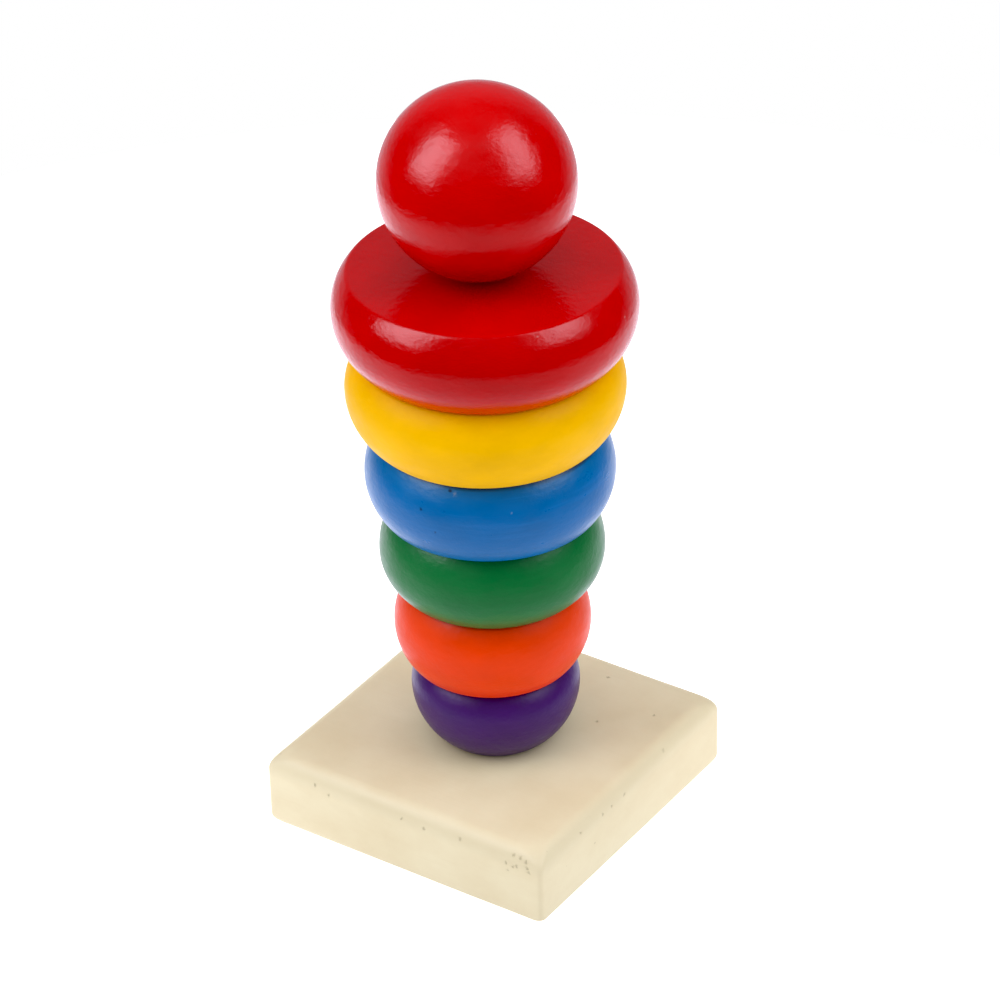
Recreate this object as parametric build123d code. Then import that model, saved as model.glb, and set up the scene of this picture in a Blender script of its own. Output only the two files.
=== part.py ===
from build123d import *
import os
from math import sqrt

os.makedirs("parts", exist_ok=True)

# Wooden ring-stacking tower: a square board with one glued peg, six rings threaded on the peg
# with the smallest at the bottom, and a ball over the peg's end. Millimetres, +Z up. The origin
# is the centre of the board's underside.

# Board
BOARD_SIDE = 80.0
BOARD_THICKNESS = 20.0
BOARD_CORNER_RADIUS = 1.0       # upright corners, seen from above
BOARD_TOP_EDGE_RADIUS = 4.0
BOARD_BOTTOM_EDGE_RADIUS = 2.0

# Peg
PEG_DIAMETER = 7.0
PEG_SOCKET_DEPTH = 14.0         # blind hole in the board
PEG_GLUE_GAP = 0.05             # all round the peg in its socket
PEG_ROOT_CHAMFER = 0.8
PEG_TIP_RADIUS = 2.4            # rounded end that leads into the bores
PEG_INTO_BALL = 22.0            # height of the peg's end above the top ring

# Rings, from the bottom of the stack to the top: the outer diameter, the thickness, the height of
# the widest line, and how far the bottom face's edge stands inside that line. They are turned by
# hand, so no two have quite the same section.
RINGS = {
    "purple_ring": (41.0, 21.5, 14.5, 7.2),
    "orange_ring": (47.5, 21.5, 10.8, 4.2),
    "green_ring": (54.0, 21.5, 10.2, 5.2),
    "blue_ring": (59.5, 21.0, 10.2, 3.8),
    "yellow_ring": (66.0, 21.0, 12.2, 5.7),
    "red_ring": (71.5, 22.0, 12.4, 6.4),
}
RING_TOP_INSET = 3.9            # how far the top face's edge stands inside the widest line
RING_RIM_BREAK = 0.6            # rounding of the crease between a flat face and the side
RING_CLEARANCE = 1.1            # all round the peg
BORE_CHAMFER = 0.4              # at both mouths of each ring's bore

# Ball
BALL_DIAMETER = 46.0
BALL_CLEARANCE = 0.6            # all round the peg
BALL_SEAT_OVERLAP = 0.8         # how far the ball's flat seat reaches past the top ring's bore
BALL_END_CLEARANCE = 2.0        # between the peg's end and the end of the ball's bore

# The threaded pieces sit loose on the peg. Each one rests a little to one side in x and y, by
# these shares of its clearance.
REST_SHARES = {
    "purple_ring": (0.55, 0.35),
    "orange_ring": (0.3, 0.2),
    "green_ring": (0.6, 0.4),
    "blue_ring": (0.6, 0.45),
    "yellow_ring": (0.2, 0.15),
    "red_ring": (0.5, 0.35),
    "ball": (-0.5, -0.3),
}

# Sizes that follow from the ones above
STACK_HEIGHT = sum(ring[1] for ring in RINGS.values())
RING_BORE_RADIUS = PEG_DIAMETER / 2 + RING_CLEARANCE
RING_MOUTH_RADIUS = RING_BORE_RADIUS + BORE_CHAMFER
BALL_BORE_RADIUS = PEG_DIAMETER / 2 + BALL_CLEARANCE
BALL_SEAT_RADIUS = RING_MOUTH_RADIUS + BALL_SEAT_OVERLAP
BALL_BORE_DEPTH = PEG_INTO_BALL + BALL_END_CLEARANCE
PEG_BOTTOM = BOARD_THICKNESS - PEG_SOCKET_DEPTH
PEG_TOP = BOARD_THICKNESS + STACK_HEIGHT + PEG_INTO_BALL

STANDING = (Align.CENTER, Align.CENTER, Align.MIN)


def make_board():
    """Square board with softened corners and edges, and a blind socket for the peg."""
    section = Rectangle(BOARD_SIDE, BOARD_THICKNESS, align=(Align.CENTER, Align.MIN))
    section = fillet(section.vertices().sort_by(Axis.Y)[-2:], BOARD_TOP_EDGE_RADIUS)
    section = fillet(section.vertices().sort_by(Axis.Y)[:2], BOARD_BOTTOM_EDGE_RADIUS)
    along_y = extrude(Plane.XZ * section, BOARD_SIDE / 2, both=True)
    along_x = Rot(0, 0, 90) * along_y
    upright = extrude(RectangleRounded(BOARD_SIDE, BOARD_SIDE, BOARD_CORNER_RADIUS), BOARD_THICKNESS)
    socket = Cylinder(PEG_DIAMETER / 2 + PEG_GLUE_GAP, PEG_SOCKET_DEPTH, align=STANDING)
    return (along_x & along_y & upright) - Pos(0, 0, PEG_BOTTOM) * socket


def make_peg():
    """Round dowel with a chamfered root and a rounded tip."""
    peg = Cylinder(PEG_DIAMETER / 2, PEG_TOP - PEG_BOTTOM, align=STANDING)
    peg = chamfer(peg.faces().sort_by(Axis.Z)[0].edges(), PEG_ROOT_CHAMFER)
    peg = fillet(peg.faces().sort_by(Axis.Z)[-1].edges(), PEG_TIP_RADIUS)
    return Pos(0, 0, PEG_BOTTOM) * peg


def make_ring(diameter, thickness, widest_height, bottom_inset):
    """Flat-faced ring standing on z = 0, whose side is two arcs that meet at the widest line."""
    widest = (diameter / 2, widest_height)
    top_edge = (diameter / 2 - RING_TOP_INSET, thickness)
    bottom_edge = (diameter / 2 - bottom_inset, 0)
    upper_side = TangentArc(widest, top_edge, tangent=(0, 1))
    lower_side = TangentArc(widest, bottom_edge, tangent=(0, -1))
    inside = Polyline(
        top_edge,
        (RING_MOUTH_RADIUS, thickness),
        (RING_BORE_RADIUS, thickness - BORE_CHAMFER),
        (RING_BORE_RADIUS, BORE_CHAMFER),
        (RING_MOUTH_RADIUS, 0),
        bottom_edge,
    )
    section = make_face(upper_side + inside + lower_side)
    outermost = section.vertices().sort_by(Axis.X)[-3:]
    section = fillet(outermost[:2], RING_RIM_BREAK)
    return revolve(Plane.XZ * section, Axis.Z)


def make_ball():
    """Ball with a small flat seat at z = 0 and a blind bore up from it."""
    radius = BALL_DIAMETER / 2
    centre_height = sqrt(radius ** 2 - BALL_SEAT_RADIUS ** 2)
    above_seat = Box(BALL_DIAMETER, BALL_DIAMETER, BALL_DIAMETER, align=STANDING)
    bore = Cylinder(BALL_BORE_RADIUS, BALL_BORE_DEPTH, align=STANDING)
    return (Pos(0, 0, centre_height) * Sphere(radius) & above_seat) - bore


def export(shape, name, clearance=0.0, level=0.0):
    """Put one piece at its height, to one side within its clearance, and write its file."""
    share_x, share_y = REST_SHARES.get(name, (0.0, 0.0))
    solid = (Pos(share_x * clearance, share_y * clearance, level) * shape).solid()
    solid.label = name
    export_step(solid, f"parts/{name}.step")


export(make_board(), "base_board")
export(make_peg(), "peg")

stack_level = BOARD_THICKNESS
for ring_name, ring_sizes in RINGS.items():
    export(make_ring(*ring_sizes), ring_name, RING_CLEARANCE, stack_level)
    stack_level += ring_sizes[1]

export(make_ball(), "ball", BALL_CLEARANCE, stack_level)
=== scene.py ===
import math

import bmesh
import bpy
from mathutils import Matrix, Vector, noise


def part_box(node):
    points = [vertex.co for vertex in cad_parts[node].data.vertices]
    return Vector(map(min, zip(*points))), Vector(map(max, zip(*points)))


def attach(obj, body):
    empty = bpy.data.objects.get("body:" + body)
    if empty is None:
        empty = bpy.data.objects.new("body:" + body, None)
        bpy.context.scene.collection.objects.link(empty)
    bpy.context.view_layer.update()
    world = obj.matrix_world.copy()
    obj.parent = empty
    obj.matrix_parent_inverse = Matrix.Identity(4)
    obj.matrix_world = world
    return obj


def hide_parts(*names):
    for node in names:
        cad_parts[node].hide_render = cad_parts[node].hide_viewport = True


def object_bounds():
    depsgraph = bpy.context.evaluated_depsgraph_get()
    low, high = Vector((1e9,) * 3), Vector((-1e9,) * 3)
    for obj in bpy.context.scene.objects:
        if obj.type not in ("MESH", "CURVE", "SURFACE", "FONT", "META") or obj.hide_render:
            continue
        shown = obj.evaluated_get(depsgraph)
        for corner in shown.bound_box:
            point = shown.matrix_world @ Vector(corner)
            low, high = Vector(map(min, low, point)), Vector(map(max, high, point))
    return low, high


# Looks for a wooden ring-stacking tower: a painted board, a bare dowel peg, six lacquered rings
# and a lacquered ball. Metres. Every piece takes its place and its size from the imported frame.

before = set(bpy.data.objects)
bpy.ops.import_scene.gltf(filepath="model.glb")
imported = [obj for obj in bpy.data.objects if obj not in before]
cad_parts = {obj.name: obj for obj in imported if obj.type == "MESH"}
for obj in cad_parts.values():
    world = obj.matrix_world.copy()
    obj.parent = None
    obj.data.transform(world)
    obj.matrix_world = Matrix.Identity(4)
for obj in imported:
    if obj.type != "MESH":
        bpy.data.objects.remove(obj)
cad_lowest, cad_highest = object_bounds()

MM = 0.001

# Sections of the turned pieces, which a box alone doesn't tell.
# Each ring: height of its widest line, and how far its bottom face's edge stands inside that line.
RING_SECTIONS = {
    "purple_ring": (14.5 * MM, 7.2 * MM),
    "orange_ring": (10.8 * MM, 4.2 * MM),
    "green_ring": (10.2 * MM, 5.2 * MM),
    "blue_ring": (10.2 * MM, 3.8 * MM),
    "yellow_ring": (12.2 * MM, 5.7 * MM),
    "red_ring": (12.4 * MM, 6.4 * MM),
}
RING_TOP_INSET = 3.9 * MM
RING_CREASE = 0.55 * MM         # how far the softened crease reaches along each face
RING_CLEARANCE = 1.1 * MM       # between the peg and a ring's bore
RING_MOUTH = 0.5 * MM           # softening of the bore's mouths
PAINT_INTO_BORE = 2.5 * MM
BALL_CLEARANCE = 0.6 * MM
BALL_BORE_DEPTH = 24 * MM
BALL_SEAT_CREASE = 0.3 * MM
PEG_ROOT_CREASE = 0.8 * MM
PEG_TIP_RADIUS = 2.4 * MM
PEG_SOCKET_GAP = 0.05 * MM
BOARD_CORNER_RADIUS = 1.3 * MM
BOARD_CORNER_WEAR = 1.6          # how much rounder the corners get for each step in over an edge
BOARD_TOP_EDGE_RADIUS = 4.0 * MM
BOARD_BOTTOM_EDGE_RADIUS = 2.5 * MM

SEAM_SHADE_DEPTH = 1.4 * MM          # how far down from a ring's top edge the painted shade of the seam reaches
SEAM_SHADE_FADE = 0.6 * MM

SAME_PLACE = 1e-6               # points closer than this count as one
TURNS = 288                     # facets round a turned piece
BOARD_STEPS_PER_SIDE = 116      # mesh steps along one side of the board, between its corners
BOARD_STEPS_PER_CORNER = 8
BOARD_TOP_ROWS = 78             # mesh rows from the board's edge to its socket
HAND_TURNED = 0.07 * MM         # how far a turned surface wanders from its true form
HAND_SANDED = 0.10 * MM         # the same on the board


# ---------------------------------------------------------------- outlines and meshes

def run(start, end, steps):
    """Evenly spaced points from start to end, both included."""
    return [
        tuple(a + (b - a) * step / steps for a, b in zip(start, end))
        for step in range(steps + 1)
    ]


def towards(start, end, distance):
    """The point that far from start on the way to end."""
    return tuple(Vector(start) + (Vector(end) - Vector(start)).normalized() * distance)


def softened(before, corner, after, reach, steps=6):
    """A small smooth curve round a corner, which starts and ends that far from it."""
    start = Vector(towards(corner, before, reach))
    end = Vector(towards(corner, after, reach))
    middle = Vector(corner)
    points = []
    for step in range(steps + 1):
        t = step / steps
        points.append(tuple(start * (1 - t) ** 2 + middle * 2 * t * (1 - t) + end * t ** 2))
    return points


def side_arc(widest, edge, trim, steps):
    """Arc from the widest line, where it is upright, to a face's edge; it stops that far short."""
    inset = widest[0] - edge[0]
    rise = edge[1] - widest[1]
    arc_radius = (inset ** 2 + rise ** 2) / (2 * inset)
    whole_turn = math.asin(abs(rise) / arc_radius)
    way = math.copysign(1, rise)
    points = []
    for step in range(steps + 1):
        turn = (whole_turn - trim / arc_radius) * step / steps
        inward = arc_radius * (1 - math.cos(turn))
        points.append((widest[0] - inward, widest[1] + way * arc_radius * math.sin(turn)))
    return points


def quarter(centre, radius, first, last, steps):
    """Points on an arc about centre, from one angle to another in degrees."""
    points = []
    for step in range(steps + 1):
        angle = math.radians(first + (last - first) * step / steps)
        points.append((centre[0] + radius * math.cos(angle), centre[1] + radius * math.sin(angle)))
    return points


def without_repeats(points):
    """The same points without any that lies on the one before it."""
    kept = points[:1]
    for point in points[1:]:
        if (Vector(point) - Vector(kept[-1])).length > SAME_PLACE:
            kept.append(point)
    return kept


def turned(name, outline, centre, closed, bare=None):
    """Mesh of revolution about the upright line through centre. outline holds (radius, height)
    points; a closed outline joins up with its start. bare says which radii and heights show wood."""
    mesh = bmesh.new()
    outline = without_repeats(outline)
    circles = []
    for radius, height in outline:
        if radius < SAME_PLACE:
            circles.append([mesh.verts.new((0, 0, height))])
            continue
        circle = []
        for turn in range(TURNS):
            angle = math.tau * turn / TURNS
            circle.append(mesh.verts.new((radius * math.cos(angle), radius * math.sin(angle), height)))
        circles.append(circle)
    pairs = list(zip(range(len(circles)), range(1, len(circles))))
    if closed:
        pairs.append((len(circles) - 1, 0))
    for first, second in pairs:
        middle = [(a + b) / 2 for a, b in zip(outline[first], outline[second])]
        finish = 1 if bare and bare(*middle) else 0
        bridge(mesh, circles[first], circles[second], finish)
    return finished(name, mesh, centre)


def bridge(mesh, inner, outer, finish=0):
    """Faces between two loops of vertices; either loop may be a single point."""
    count = max(len(inner), len(outer))
    for index in range(count):
        following = (index + 1) % count
        corners = [inner[index % len(inner)], outer[index % len(outer)]]
        if len(outer) > 1:
            corners.append(outer[following])
        if len(inner) > 1:
            corners.append(inner[following])
        mesh.faces.new(corners).material_index = finish


def finished(name, mesh, centre):
    """Turns a bmesh into a smooth-shaded object at its place."""
    bmesh.ops.recalc_face_normals(mesh, faces=mesh.faces)
    data = bpy.data.meshes.new(name)
    mesh.to_mesh(data)
    mesh.free()
    data.shade_smooth()
    piece = bpy.data.objects.new(name, data)
    piece.location = centre
    bpy.context.scene.collection.objects.link(piece)
    return piece


def worn_uneven(piece, depth, size, seed):
    """Sinks the surface by up to depth, in soft patches of the given size."""
    shift = Vector((seed * 3.1, seed * 1.7, seed * 2.3))
    normals = [vertex.normal.copy() for vertex in piece.data.vertices]
    for vertex, normal in zip(piece.data.vertices, normals):
        share = 0.5 + 0.5 * noise.noise(vertex.co / size + shift)
        vertex.co -= normal * depth * min(max(share, 0), 1)


def dented(piece, dents):
    """Presses in small round dents, each given as its place, radius and depth."""
    normals = [vertex.normal.copy() for vertex in piece.data.vertices]
    for place, radius, depth in dents:
        middle = Vector(place)
        for vertex, normal in zip(piece.data.vertices, normals):
            distance = (vertex.co - middle).length / radius
            if distance < 1:
                vertex.co -= normal * depth * (1 - distance ** 2) ** 2


# ---------------------------------------------------------------- materials

def new_material(name):
    """An empty node material, with its tree."""
    material = bpy.data.materials.new(name)
    material.use_nodes = True
    material.node_tree.nodes.clear()
    return material, material.node_tree


def put(tree, kind, sockets=None, **settings):
    """Adds a node. Each socket is given a plain value or another node's output."""
    made = tree.nodes.new("ShaderNode" + kind)
    for key, value in settings.items():
        setattr(made, key, value)
    for key, value in (sockets or {}).items():
        if isinstance(value, bpy.types.NodeSocket):
            tree.links.new(value, made.inputs[key])
        else:
            made.inputs[key].default_value = value
    return made


def linear(red, green, blue):
    """A screen colour in 0-255 steps as the linear colour that a shader takes."""
    def channel(value):
        share = value / 255
        return share / 12.92 if share <= 0.04045 else ((share + 0.055) / 1.055) ** 2.4
    return (channel(red), channel(green), channel(blue), 1.0)


def cloud(tree, stretch, detail=3.0, roughness=0.5, shift=(0, 0, 0)):
    """Noise over the piece's own coordinates; stretch is how many patches there are per metre."""
    place = put(tree, "TexCoord").outputs["Object"]
    stretched = put(tree, "Mapping", {"Vector": place, "Scale": stretch, "Location": shift})
    found = put(tree, "TexNoise", {
        "Vector": stretched.outputs["Vector"],
        "Scale": 1.0,
        "Detail": detail,
        "Roughness": roughness,
    })
    return found.outputs["Fac"]


def spread(tree, value, low, high, to_low=0.0, to_high=1.0):
    """Maps the range low to high onto another, and holds it there."""
    mapped = put(tree, "MapRange", {
        "Value": value,
        "From Min": low,
        "From Max": high,
        "To Min": to_low,
        "To Max": to_high,
    }, clamp=True)
    return mapped.outputs["Result"]


def mixed(tree, share, first, second):
    """A colour between first and second."""
    mix = put(tree, "Mix", data_type="RGBA")
    for socket, value in ((0, share), (6, first), (7, second)):
        if isinstance(value, bpy.types.NodeSocket):
            tree.links.new(value, mix.inputs[socket])
        else:
            mix.inputs[socket].default_value = value
    return mix.outputs[2]


def maths(tree, operation, first, second):
    """One sum on two values."""
    made = put(tree, "Math", {0: first, 1: second}, operation=operation)
    return made.outputs["Value"]


def relief(tree, height, distance, normal=None):
    """A bump of the given height in metres, on top of another if one is given."""
    sockets = {"Height": height, "Distance": distance, "Strength": 1.0}
    if normal is not None:
        sockets["Normal"] = normal
    return put(tree, "Bump", sockets).outputs["Normal"]


def near(tree, spots, ragged):
    """1 at the named spots on the piece, falling to 0 at each one's radius, with ragged edges."""
    place = put(tree, "TexCoord").outputs["Object"]
    total = None
    for spot, radius in spots:
        away = put(tree, "VectorMath", {0: place, 1: spot}, operation="DISTANCE").outputs["Value"]
        ragged_away = maths(tree, "ADD", away, maths(tree, "MULTIPLY", ragged, radius * 3))
        share = spread(tree, ragged_away, radius * 2.3, radius * 1.6)
        total = share if total is None else maths(tree, "MAXIMUM", total, share)
    return total


def shaded(tree, name_of_surface, colour, roughness, normal, constants):
    """The Principled shader with its output. Constants go straight on its own sockets."""
    surface = put(tree, "BsdfPrincipled", {
        "Base Color": colour,
        "Roughness": roughness,
        "Normal": normal,
        **constants,
    }, label=name_of_surface)
    output = put(tree, "OutputMaterial")
    tree.links.new(surface.outputs["BSDF"], output.inputs["Surface"])


def tinted(colour, share, lift=0.0):
    """The colour made darker or brighter by that share, then lifted towards white."""
    return tuple(min(channel * share + lift, 1.0) for channel in colour[:3]) + (1.0,)


def upright_place(tree):
    """How high a point is on the piece, in its own coordinates."""
    return put(tree, "SeparateXYZ", {0: put(tree, "TexCoord").outputs["Object"]}).outputs["Z"]


def seam_painted_shade(tree, seam, patches):
    """Painted shade in patches just under a ring's top edge, from the height of seam up: it darkens
    the colour where the contact shadow of the next ring falls.
    """
    height = upright_place(tree)
    from_below = spread(tree, height, seam, seam + SEAM_SHADE_FADE, 0.0, 0.9)
    from_above = spread(tree, height, seam + SEAM_SHADE_DEPTH - 0.12 * MM, seam + SEAM_SHADE_DEPTH - 0.4 * MM)
    patchy = spread(tree, patches, 0.3, 0.6, 0.45, 0.85)
    return maths(tree, "MULTIPLY", maths(tree, "MULTIPLY", from_below, from_above), patchy)


def lacquer_relief(tree, grain, shift):
    """Ripples of the paint, the grain under it and a few nibs of dust."""
    ripples = cloud(tree, (480, 480, 720), 3.0, 0.6, shift)
    normal = relief(tree, ripples, 0.12 * MM)
    normal = relief(tree, grain, 0.012 * MM, normal)
    nibs = spread(tree, cloud(tree, (1300, 1300, 1300), 0.0, 0.5, shift), 0.80, 0.88)
    return relief(tree, nibs, 0.02 * MM, normal)


def lacquer(name, colour, seed, gloss, strength, streaks=0.0, chips=(), scuffs=(), seam=None):
    """Glossy paint on turned wood: the grain and the turning lines show through as a faint relief,
    the colour is a little thinner here and thicker there, and a few nibs of dust stand up. streaks
    tells how strongly the strokes of the brush show, seam from what height up a painted shade
    darkens the colour in place of the contact shadow under the next ring."""
    material, tree = new_material(name)
    shift = (seed * 1.3, seed * 2.1, seed * 0.7)
    deep = tinted(colour, 0.92)
    thin = tinted(colour, 1.05)
    patches = cloud(tree, (70, 70, 110), 4.0, 0.55, shift)
    body = mixed(tree, spread(tree, patches, 0.3, 0.7), deep, thin)
    grain = cloud(tree, (160, 1500, 1500), 3.0, 0.6, shift)
    body = mixed(tree, spread(tree, grain, 0.62, 0.8, 0.0, 0.25), body, deep)
    ragged = cloud(tree, (1100, 1100, 1600), 4.0, 0.7, shift)
    if streaks:
        strokes = spread(tree, cloud(tree, (45, 45, 1100), 3.0, 0.6, shift), 0.52, 0.74, 0.0, streaks)
        body = mixed(tree, strokes, body, tinted(colour, 1.4, 0.02))
    if scuffs:
        scuffed = maths(tree, "MULTIPLY", near(tree, scuffs, ragged), 0.8)
        body = mixed(tree, scuffed, body, tinted(colour, 0.75, 0.15))
    if chips:
        body = mixed(tree, near(tree, chips, ragged), body, tinted(colour, 0.22))
    # Painted shade: the band under the top edge is darkened to stand in for the contact shadow of the
    # ring above.
    if seam:
        body = mixed(tree, seam_painted_shade(tree, seam, patches), body, tinted(colour, 0.12))
    smears = cloud(tree, (120, 120, 260), 5.0, 0.6, shift)
    roughness = spread(tree, smears, 0.3, 0.75, gloss * 0.8, gloss * 1.25)
    normal = lacquer_relief(tree, grain, shift)
    shaded(tree, name, body, roughness, normal, {"IOR": 1.5, "Specular IOR Level": strength})
    return material


def cream_paint(pits):
    """Satin cream paint on a sanded board: long grain streaks, tiny pits and specks of dirt, and a
    painted shade that darkens the band over the rounded top edge.
    """
    material, tree = new_material("cream_paint")
    body = linear(231, 220, 190)
    shade = linear(221, 206, 172)
    patches = cloud(tree, (35, 35, 60), 5.0, 0.6)
    colour = mixed(tree, spread(tree, patches, 0.3, 0.7), shade, body)
    grain = cloud(tree, (25, 900, 900), 4.0, 0.6)
    colour = mixed(tree, spread(tree, grain, 0.58, 0.78, 0.0, 0.35), colour, shade)
    specks = spread(tree, cloud(tree, (330, 330, 330), 2.0, 0.5, (5, 3, 1)), 0.76, 0.80)
    colour = mixed(tree, maths(tree, "MULTIPLY", specks, 0.5), colour, linear(168, 150, 118))
    # Painted shade: the rounded top edge and the side just under it are darkened, to tone down how
    # brightly they face the side lights.
    height = upright_place(tree)
    top_edge_painted_shade = maths(
        tree,
        "MULTIPLY",
        spread(tree, height, BOARD_HEIGHT - 6.0 * MM, BOARD_HEIGHT - 2.5 * MM),
        spread(tree, height, BOARD_HEIGHT - 0.3 * MM, BOARD_HEIGHT - 1.3 * MM),
    )
    colour = mixed(tree, maths(tree, "MULTIPLY", top_edge_painted_shade, 0.6), colour, linear(216, 204, 174))
    ragged = cloud(tree, (1500, 1500, 1500), 3.0, 0.7)
    marks = near(tree, pits, ragged)
    colour = mixed(tree, maths(tree, "MULTIPLY", marks, 0.48), colour, linear(152, 136, 96))
    roughness = spread(tree, patches, 0.3, 0.7, 0.42, 0.56)
    normal = relief(tree, grain, 0.03 * MM)
    normal = relief(tree, cloud(tree, (500, 500, 500), 3.0, 0.6), 0.03 * MM, normal)
    normal = relief(tree, maths(tree, "MULTIPLY", marks, -1.0), 0.12 * MM, normal)
    shaded(tree, "cream_paint", colour, roughness, normal, {"IOR": 1.45})
    return material


def bare_wood():
    """Unpainted pale wood with its grain along the upright."""
    material, tree = new_material("bare_wood")
    grain = cloud(tree, (1400, 1400, 45), 5.0, 0.65)
    pores = cloud(tree, (2600, 2600, 160), 2.0, 0.5, (2, 4, 6))
    colour = mixed(tree, spread(tree, grain, 0.3, 0.7), linear(196, 158, 108), linear(226, 194, 148))
    colour = mixed(tree, spread(tree, pores, 0.62, 0.75, 0.0, 0.6), colour, linear(150, 110, 68))
    roughness = spread(tree, grain, 0.3, 0.7, 0.55, 0.72)
    normal = relief(tree, grain, 0.05 * MM)
    normal = relief(tree, maths(tree, "MULTIPLY", pores, -1.0), 0.03 * MM, normal)
    shaded(tree, "bare_wood", colour, roughness, normal, {"IOR": 1.45})
    return material


# ---------------------------------------------------------------- pieces

def box_of(node):
    """A CAD node's centre line, half its width, and its lowest and highest level."""
    low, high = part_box(node)
    return (low.x + high.x) / 2, (low.y + high.y) / 2, (high.x - low.x) / 2, low.z, high.z


def placed(piece, node, body, slot, *materials):
    """Gives a piece its materials and lets it stand for its CAD node."""
    for material in materials:
        piece.data.materials.append(material)
    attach(piece, body)
    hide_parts(node)
    return piece


def make_ring(node, slot, paint, wood, seed):
    """A turned ring: two side arcs between flat faces, and a bored hole painted at its mouths."""
    x, y, radius, level, top_level = box_of(node)
    height = top_level - level
    widest_height, bottom_inset = RING_SECTIONS[node]
    widest = (radius, widest_height)
    top_edge = (radius - RING_TOP_INSET, height)
    bottom_edge = (radius - bottom_inset, 0)
    bore = PEG_RADIUS + RING_CLEARANCE
    bore_bottom, bore_top = (bore, 0), (bore, height)
    lower = side_arc(widest, bottom_edge, RING_CREASE, 26)
    upper = side_arc(widest, top_edge, RING_CREASE, 26)
    outline = softened(bore_top, bore_bottom, bottom_edge, RING_MOUTH)
    outline += run(outline[-1], towards(bottom_edge, bore_bottom, RING_CREASE), 18)
    outline += softened(bore_bottom, bottom_edge, lower[-1], RING_CREASE)
    outline += reversed(lower)
    outline += upper
    outline += softened(upper[-1], top_edge, bore_top, RING_CREASE)
    outline += run(outline[-1], towards(bore_top, top_edge, RING_MOUTH), 24)
    outline += softened(top_edge, bore_top, bore_bottom, RING_MOUTH)
    outline += run(outline[-1], towards(bore_bottom, bore_top, RING_MOUTH), 16)[:-1]

    def bare(at_radius, at_height):
        deep = PAINT_INTO_BORE < at_height < height - PAINT_INTO_BORE
        return deep and at_radius < bore + RING_MOUTH / 2

    piece = turned(node + "_turned", outline, (x, y, level), True, bare)
    worn_uneven(piece, HAND_TURNED, 14 * MM, seed)
    return placed(piece, node, node, slot, paint, wood)


def make_ball(slot, paint, wood):
    """The ball: a sphere with a small flat seat and a blind bore."""
    x, y, radius, level, top_level = box_of("ball")
    centre_height = top_level - level - radius
    seat_radius = math.sqrt(radius ** 2 - centre_height ** 2)
    bore = PEG_RADIUS + BALL_CLEARANCE
    seat_edge = (seat_radius, 0)
    bore_mouth = (bore, 0)
    low_angle = -math.degrees(math.asin(centre_height / radius))
    crease_angle = math.degrees(BALL_SEAT_CREASE / radius)
    sphere = quarter((0, centre_height), radius, low_angle + crease_angle, 90, 150)
    outline = run((0, BALL_BORE_DEPTH), (bore, BALL_BORE_DEPTH), 4)
    outline += run((bore, BALL_BORE_DEPTH), (bore, RING_MOUTH), 20)
    outline += softened(outline[-1], bore_mouth, seat_edge, RING_MOUTH / 2)
    outline += softened(bore_mouth, seat_edge, sphere[0], BALL_SEAT_CREASE)
    outline += sphere[:-1]
    outline.append((0, top_level - level))

    def bare(at_radius, at_height):
        return at_radius < bore + BALL_SEAT_CREASE / 2 and PAINT_INTO_BORE < at_height <= BALL_BORE_DEPTH

    piece = turned("ball_turned", outline, (x, y, level), False, bare)
    return placed(piece, "ball", "ball", slot, paint, wood)


def make_peg(slot, wood):
    """The dowel: a chamfered root in the board and a rounded tip in the ball."""
    x, y, radius, level, top_level = box_of("peg")
    height = top_level - level
    outline = run((0, 0), (radius - PEG_ROOT_CREASE, 0), 3)
    outline += run((radius, PEG_ROOT_CREASE), (radius, height - PEG_TIP_RADIUS), 90)
    outline += quarter((radius - PEG_TIP_RADIUS, height - PEG_TIP_RADIUS), PEG_TIP_RADIUS, 0, 90, 10)
    outline += run(outline[-1], (0, height), 4)
    piece = turned("peg_dowel", outline, (x, y, level), False)
    return placed(piece, "peg", "base", slot, wood)


def rounded_square(half, corner, points_per_side, points_per_corner):
    """Points round a square with rounded corners, anticlockwise from the middle of one side."""
    flat = half - corner
    corner = max(corner, 1e-5)
    loop = []
    for side in range(4):
        turn = Matrix.Rotation(side * math.pi / 2, 2)
        for step in range(points_per_side):
            loop.append(turn @ Vector((half, -flat + 2 * flat * step / points_per_side)))
        for step in range(points_per_corner):
            angle = math.pi / 2 * step / points_per_corner
            loop.append(turn @ Vector((flat + corner * math.cos(angle), flat + corner * math.sin(angle))))
    return loop


def board_section(half, height):
    """Section of the board's side: out along the underside's edge, up, and in over the top edge."""
    top_half = half - BOARD_TOP_EDGE_RADIUS
    bottom_half = half - BOARD_BOTTOM_EDGE_RADIUS
    top_start = height - BOARD_TOP_EDGE_RADIUS
    section = quarter((bottom_half, BOARD_BOTTOM_EDGE_RADIUS), BOARD_BOTTOM_EDGE_RADIUS, -90, 0, 8)
    section += run((half, BOARD_BOTTOM_EDGE_RADIUS), (half, top_start), 22)[1:]
    section += quarter((top_half, top_start), BOARD_TOP_EDGE_RADIUS, 0, 90, 14)[1:]
    return section


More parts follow.
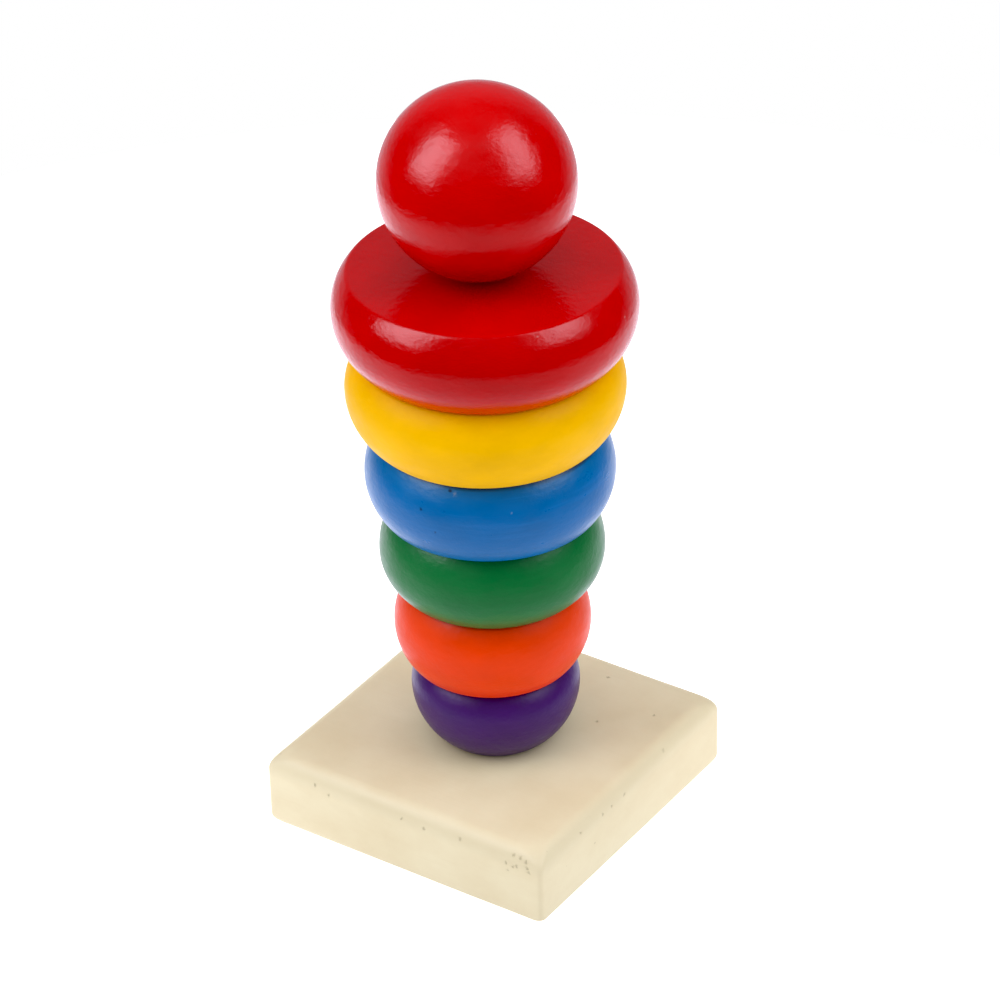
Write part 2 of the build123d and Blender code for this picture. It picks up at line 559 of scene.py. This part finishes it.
def make_board(slot, paint, wood, dents):
    """The board: stacked rounded squares from the socket's rim over the edges to the underside."""
    x, y, half, level, top_level = box_of("base_board")
    height = top_level - level
    socket = PEG_RADIUS + PEG_SOCKET_GAP
    socket_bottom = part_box("peg")[0].z
    per_side, per_corner = BOARD_STEPS_PER_SIDE, BOARD_STEPS_PER_CORNER
    top_half = half - BOARD_TOP_EDGE_RADIUS
    bottom_half = half - BOARD_BOTTOM_EDGE_RADIUS

    mesh = bmesh.new()

    def circle(radius, at_height):
        """Socket circle whose points face those of the square."""
        outer = rounded_square(half, BOARD_CORNER_RADIUS, per_side, per_corner)
        return [mesh.verts.new((*(point.normalized() * radius), at_height)) for point in outer]

    def square(at_half, at_height, roundness=0.0):
        """Square loop; roundness 1 pulls it in to the circle inside it."""
        inset = min(half - at_half, BOARD_TOP_EDGE_RADIUS)
        corner = min(BOARD_CORNER_RADIUS + inset * BOARD_CORNER_WEAR, at_half)
        loop = rounded_square(at_half, corner, per_side, per_corner)
        return [
            mesh.verts.new((*(point.lerp(point.normalized() * at_half, roundness)), at_height))
            for point in loop
        ]

    under = [[mesh.verts.new((0, 0, 0))]]
    under += [square(bottom_half * share, 0, 1 - share) for share in (0.1, 0.3, 0.5, 0.7, 0.85, 0.94)]
    side = [square(at_half, at_height) for at_half, at_height in board_section(half, height)]
    top = []
    for row in range(1, BOARD_TOP_ROWS):
        share = row / BOARD_TOP_ROWS
        at_half = top_half + (socket - top_half) * share
        top.append(square(at_half, height, share ** 2))
    hole = [circle(socket, height), circle(socket, socket_bottom)]
    loops = under + side + top + hole
    for first, second in zip(loops, loops[1:]):
        bridge(mesh, first, second, 1 if second is hole[-1] else 0)
    floor_centre = [mesh.verts.new((0, 0, socket_bottom))]
    bridge(mesh, hole[-1], floor_centre, 1)
    piece = finished("board_sanded", mesh, (x, y, level))
    worn_uneven(piece, HAND_SANDED, 16 * MM, 5)
    dented(piece, dents)
    for vertex in piece.data.vertices:
        if abs(vertex.co.z) < HAND_SANDED:
            vertex.co.z = 0
    return placed(piece, "base_board", "base", slot, paint, wood)


# ---------------------------------------------------------------- the object

PEG_RADIUS = box_of("peg")[2]
BOARD_HALF, BOARD_HEIGHT = box_of("base_board")[2], box_of("base_board")[4]

wood = bare_wood()

# Pits and specks of the board, in mm. First those of the side at -y, as how far along it and how
# high; then those of the side at +x the same way; then those of the top, as x and y.
SIDE_PITS = (
    (30, 15.5), (30.5, 13.5), (32, 15), (32, 18), (33, 15.5), (34, 18), (35.5, 17.5), (36, 16),
    (36.5, 15), (-25.5, 16.5), (-21.5, 15), (0, 16.5), (6.5, 16), (17, 17),
)
OTHER_SIDE_PITS = ((-22.5, 17), (-13, 16.5), (-9, 16.5), (-3.5, 16.5), (15, 18))
TOP_PITS = ((20.5, 14.5), (31, 24), (12.5, 32))
PIT_SIZE = 0.65 * MM
DENT_DEPTH = 0.06 * MM          # how deep a pit's dent is
DENT_REACH = 3                  # the dent's radius, in pit sizes


def out_at(height):
    """How far the board's side stands from its middle at that height, over its rounded top edge."""
    over = max(height - (BOARD_HEIGHT - BOARD_TOP_EDGE_RADIUS), 0)
    return BOARD_HALF - BOARD_TOP_EDGE_RADIUS + math.sqrt(BOARD_TOP_EDGE_RADIUS ** 2 - over ** 2)


def pit_places():
    """The pits' places in the board's own coordinates."""
    places = [(along * MM, -out_at(height * MM), height * MM) for along, height in SIDE_PITS]
    places += [(out_at(height * MM), along * MM, height * MM) for along, height in OTHER_SIDE_PITS]
    places += [(x * MM, y * MM, BOARD_HEIGHT) for x, y in TOP_PITS]
    return places


pits = [(place, PIT_SIZE) for place in pit_places()]
dents = [(place, DENT_REACH * size, DENT_DEPTH) for place, size in pits]
make_board("cream_paint", cream_paint(pits), wood, dents)
make_peg("bare_wood", wood)

# Each ring: slot, colour, roughness, strength of the sheen, and how much its brush strokes show.
LACQUERS = {
    "purple_ring": ("purple_lacquer", linear(64, 19, 104), 0.38, 0.36, 0.06),
    "orange_ring": ("orange_lacquer", linear(230, 60, 0), 0.40, 0.22, 0.0),
    "green_ring": ("green_lacquer", linear(6, 113, 53), 0.36, 0.5, 0.10),
    "blue_ring": ("blue_lacquer", linear(0, 104, 178), 0.33, 0.45, 0.22),
    "yellow_ring": ("yellow_lacquer", linear(250, 190, 0), 0.50, 0.12, 0.0),
    "red_ring": ("red_lacquer", linear(198, 0, 2), 0.20, 0.5, 0.0),
}

# Dark chips and pale scuffs: angle round the ring in degrees, height and size in mm.
CHIPS = {
    "blue_ring": ((-75.5, 19.5, 0.8), (-89, 14, 0.6), (-81.5, 9, 0.4)),
}
SCUFFS = {
    "blue_ring": ((-73, 19, 0.8), (-46, 15, 0.4)),
    "red_ring": ((9.5, 16.5, 0.5), (-34.5, 21, 0.45)),
}


def on_ring(node, flaws):
    """Places of flaws on a ring's side, in its own coordinates, each with its size."""
    radius, level, top_level = box_of(node)[2:]
    height = top_level - level
    widest_height, bottom_inset = RING_SECTIONS[node]
    places = []
    for degrees, at_height, size in flaws:
        above = at_height * MM > widest_height
        edge = (radius - RING_TOP_INSET, height) if above else (radius - bottom_inset, 0)
        side = side_arc((radius, widest_height), edge, 0, 60)
        out = min(side, key=lambda point: abs(point[1] - at_height * MM))[0]
        angle = math.radians(degrees)
        places.append(((out * math.cos(angle), out * math.sin(angle), at_height * MM), size * MM))
    return places


# Rings whose upper edge gets a painted shade where the next ring sits on it, in place of the contact
# shadow there.
PAINTED_SHADE_SEAMS = ("purple_ring", "orange_ring", "green_ring", "blue_ring")

for seed, (node, (slot, colour, gloss, strength, streaks)) in enumerate(LACQUERS.items(), start=1):
    chips = on_ring(node, CHIPS.get(node, ()))
    scuffs = on_ring(node, SCUFFS.get(node, ()))
    # height from which the painted shade of the seam starts
    seam = box_of(node)[4] - box_of(node)[3] - SEAM_SHADE_DEPTH if node in PAINTED_SHADE_SEAMS else None
    paint = lacquer(slot + "_" + node, colour, seed, gloss, strength, streaks, chips, scuffs, seam)
    make_ring(node, slot, paint, wood, seed)

make_ball("red_lacquer", lacquer("red_lacquer_ball", linear(208, 0, 2), 8, 0.215, 0.5), wood)


# ---------------------------------------------------------------- floor, light and camera

CAMERA_AZIMUTH = math.radians(34.74)
CAMERA_ELEVATION = math.radians(32.43)
CAMERA_ROLL = math.radians(-1.58)
CAMERA_DISTANCE = 1.0638
CAMERA_LENS = 161.65
AIM_HEIGHT = 0.08503
AIM_TO_RIGHT = 0.0029

TO_RIGHT = Vector((math.cos(CAMERA_AZIMUTH), math.sin(CAMERA_AZIMUTH), 0))
TO_FRONT = Vector((math.sin(CAMERA_AZIMUTH), -math.cos(CAMERA_AZIMUTH), 0))
UPWARD = Vector((0, 0, 1))


def direction(azimuth, elevation):
    """Unit vector: azimuth in degrees from the front towards the right, elevation above level."""
    turn, rise = math.radians(azimuth), math.radians(elevation)
    level = TO_FRONT * math.cos(turn) + TO_RIGHT * math.sin(turn)
    return level * math.cos(rise) + UPWARD * math.sin(rise)


def make_camera():
    """Camera in front, above and a little to one side of the board's corner."""
    back = direction(0, math.degrees(CAMERA_ELEVATION))
    upright = back.cross(TO_RIGHT)
    right = TO_RIGHT * math.cos(CAMERA_ROLL) + upright * math.sin(CAMERA_ROLL)
    up = back.cross(right)
    camera = bpy.data.objects.new("camera", bpy.data.cameras.new("camera"))
    aim = UPWARD * AIM_HEIGHT + TO_RIGHT * AIM_TO_RIGHT
    axes = Matrix((right, up, back)).transposed().to_4x4()
    camera.matrix_world = Matrix.Translation(aim + back * CAMERA_DISTANCE) @ axes
    camera.data.sensor_width = 36
    camera.data.lens = CAMERA_LENS
    camera.data.clip_start = 0.05
    camera.data.clip_end = 20
    bpy.context.scene.collection.objects.link(camera)
    bpy.context.scene.camera = camera


LIGHT_DISTANCE = 0.9
LIGHTS_AIM_BELOW_TOP = 23 * MM  # the lights face the middle of the ball


def make_softbox(name, azimuth, elevation, width, height, lean, radiance, glossy):
    """A rectangular soft light that faces the tower and isn't seen by the camera. A glossy one only
    shows in the lacquer; the others only light the paint's own colour."""
    light = bpy.data.lights.new(name, "AREA")
    light.shape = "RECTANGLE"
    light.size = width
    light.size_y = height
    light.energy = radiance * 4 * width * height
    if glossy:
        light.color = REFLECTED_TINT
    lamp = bpy.data.objects.new(name, light)
    away = direction(azimuth, elevation)
    facing = away.to_track_quat("Z", "Y").to_matrix().to_4x4()
    centre = UPWARD * (cad_highest.z - LIGHTS_AIM_BELOW_TOP) + away * LIGHT_DISTANCE
    leaning = Matrix.Rotation(math.radians(lean), 4, "Z")
    lamp.matrix_world = Matrix.Translation(centre) @ facing @ leaning
    lamp.visible_camera = False
    lamp.visible_glossy = glossy
    lamp.visible_diffuse = not glossy
    bpy.context.scene.collection.objects.link(lamp)


REFLECTED_TINT = (0.98, 0.97, 1.08)
FLOOR_BOUNCE = 1.60            # how bright the sheet is to the painted surfaces above it
FLOOR_BOUNCE_FURTHER_OUT = 2.2
FILL_TOP = 1.22
SOFT_LEFT = 2.3
SOFT_RIGHT = 1.85
SHEEN = 1.05
FLOOR_RADIUS = 360 * MM
FLOOR_SIDES = 96
FLOOR_GAP = 0.05 * MM          # between the sheet and the board's underside
BLACK_LEVEL = 0.008


def floor_sheet():
    """The round sheet's mesh, in rings from its middle out."""
    mesh = bmesh.new()
    loops = [[mesh.verts.new((0, 0, 0))]]
    for share in (0.25, 0.5, 0.75, 1.0):
        loop = []
        for step in range(FLOOR_SIDES):
            angle = math.tau * step / FLOOR_SIDES
            x = FLOOR_RADIUS * share * math.cos(angle)
            y = FLOOR_RADIUS * share * math.sin(angle)
            loop.append(mesh.verts.new((x, y, 0)))
        loops.append(loop)
    for first, second in zip(loops, loops[1:]):
        bridge(mesh, first, second)
    return finished("floor", mesh, (0, 0, cad_lowest.z - FLOOR_GAP))


def pointing(tree, vector, way):
    """How far a vector points that way."""
    return put(tree, "VectorMath", {0: vector, 1: way}, operation="DOT_PRODUCT").outputs["Value"]


def sheet_brightness(tree):
    """How bright the sheet is to the paint above it, and how bright the lacquer mirrors it."""
    place = put(tree, "TexCoord").outputs["Object"]
    outward = put(tree, "VectorMath", {0: place}, operation="NORMALIZE").outputs["Vector"]
    behind = pointing(tree, outward, -TO_FRONT)
    leftward = pointing(tree, outward, -TO_RIGHT)
    away = put(tree, "VectorMath", {0: place}, operation="LENGTH").outputs["Value"]
    bounce = spread(tree, away, 0.08, 0.20, FLOOR_BOUNCE, FLOOR_BOUNCE_FURTHER_OUT)
    bounce = maths(tree, "ADD", bounce, spread(tree, behind, -1.0, -0.1, -0.38, 0.0))
    sheen = spread(tree, behind, -0.6, 0.2, 0.30, 0.75)
    sheen = maths(tree, "ADD", sheen, spread(tree, behind, 0.2, 0.8, 0.0, 0.85))
    sheen = maths(tree, "ADD", sheen, spread(tree, leftward, 0.2, 0.9, 0.0, 0.30))
    sheen = maths(tree, "ADD", sheen, spread(tree, away, 0.06, 0.16, 0.45, 0.0))
    return bounce, sheen


def make_floor():
    """A round white sheet under the board. What it throws up on the tower, what the lacquer mirrors
    of it, brighter behind than in front, and how it looks by itself are set apart."""
    floor = floor_sheet()
    material, tree = new_material("floor_white")
    bounce, sheen = sheet_brightness(tree)
    rays = put(tree, "LightPath")
    sheet = put(tree, "BsdfDiffuse", {"Color": (0.75, 0.75, 0.75, 1)})
    glow = put(tree, "Emission", {"Color": (1, 1, 1, 1), "Strength": 0.75})
    lit = put(tree, "AddShader", {0: sheet.outputs[0], 1: glow.outputs[0]})
    bounced = put(tree, "Emission", {"Color": (1, 0.99, 0.97, 1), "Strength": bounce})
    mirrored = put(tree, "Emission", {"Color": (*REFLECTED_TINT, 1), "Strength": sheen})
    unseen = put(tree, "MixShader", {
        0: rays.outputs["Is Diffuse Ray"],
        1: mirrored.outputs[0],
        2: bounced.outputs[0],
    })
    shown = put(tree, "MixShader", {
        0: rays.outputs["Is Camera Ray"],
        1: unseen.outputs[0],
        2: lit.outputs[0],
    })
    output = put(tree, "OutputMaterial")
    tree.links.new(shown.outputs[0], output.inputs["Surface"])
    material.cycles.emission_sampling = "NONE"
    floor.data.materials.append(material)


def make_world():
    """White behind the object to the camera, a dark studio in the reflections, and a soft fill."""
    world = bpy.data.worlds.new("studio")
    bpy.context.scene.world = world
    world.use_nodes = True
    world.cycles.sampling_method = "NONE"
    tree = world.node_tree
    tree.nodes.clear()
    way = put(tree, "TexCoord").outputs["Generated"]
    behind = pointing(tree, way, -TO_FRONT)
    backdrop = spread(tree, behind, 0.55, 0.85, 0.012, 0.26)
    height = put(tree, "SeparateXYZ", {0: way}).outputs["Z"]
    sweep = maths(tree, "MULTIPLY", spread(tree, height, 0.1, -0.35), spread(tree, behind, 0.2, 0.75))
    backdrop = maths(tree, "ADD", backdrop, maths(tree, "MULTIPLY", sweep, 0.5))
    fill = spread(tree, height, 0.0, 1.0, 0.0, FILL_TOP)
    rays = put(tree, "LightPath")
    studio = put(tree, "Background", {"Color": (*REFLECTED_TINT, 1), "Strength": backdrop})
    soft = put(tree, "Background", {"Color": (1, 1, 1, 1), "Strength": fill})
    white = put(tree, "Background", {"Color": (1, 1, 1, 1), "Strength": 1.0})
    lit = put(tree, "MixShader", {
        0: rays.outputs["Is Diffuse Ray"],
        1: studio.outputs[0],
        2: soft.outputs[0],
    })
    seen = put(tree, "MixShader", {
        0: rays.outputs["Is Camera Ray"],
        1: lit.outputs[0],
        2: white.outputs[0],
    })
    output = put(tree, "OutputWorld")
    tree.links.new(seen.outputs[0], output.inputs["Surface"])


make_camera()
make_world()
make_floor()
make_softbox("softbox_left", -72, 32, 0.52, 0.84, 0, SOFT_LEFT, False)
make_softbox("softbox_right", 73, 34, 0.52, 0.92, -22, SOFT_RIGHT, False)
make_softbox("sheen_left", -71, 39, 0.60, 0.82, 0, 2.6 * SHEEN, True)
make_softbox("sheen_left_core", -74, 39, 0.30, 0.50, 0, 0.9 * SHEEN, True)
make_softbox("sheen_right", 71, 43, 0.56, 0.88, -22, 1.8 * SHEEN, True)
make_softbox("sheen_right_core", 74, 43, 0.26, 0.54, -22, 0.9 * SHEEN, True)

view = bpy.context.scene.view_settings
view.view_transform = "Standard"
view.use_curve_mapping = True
view.curve_mapping.black_level = (BLACK_LEVEL, BLACK_LEVEL, BLACK_LEVEL)
view.curve_mapping.update()
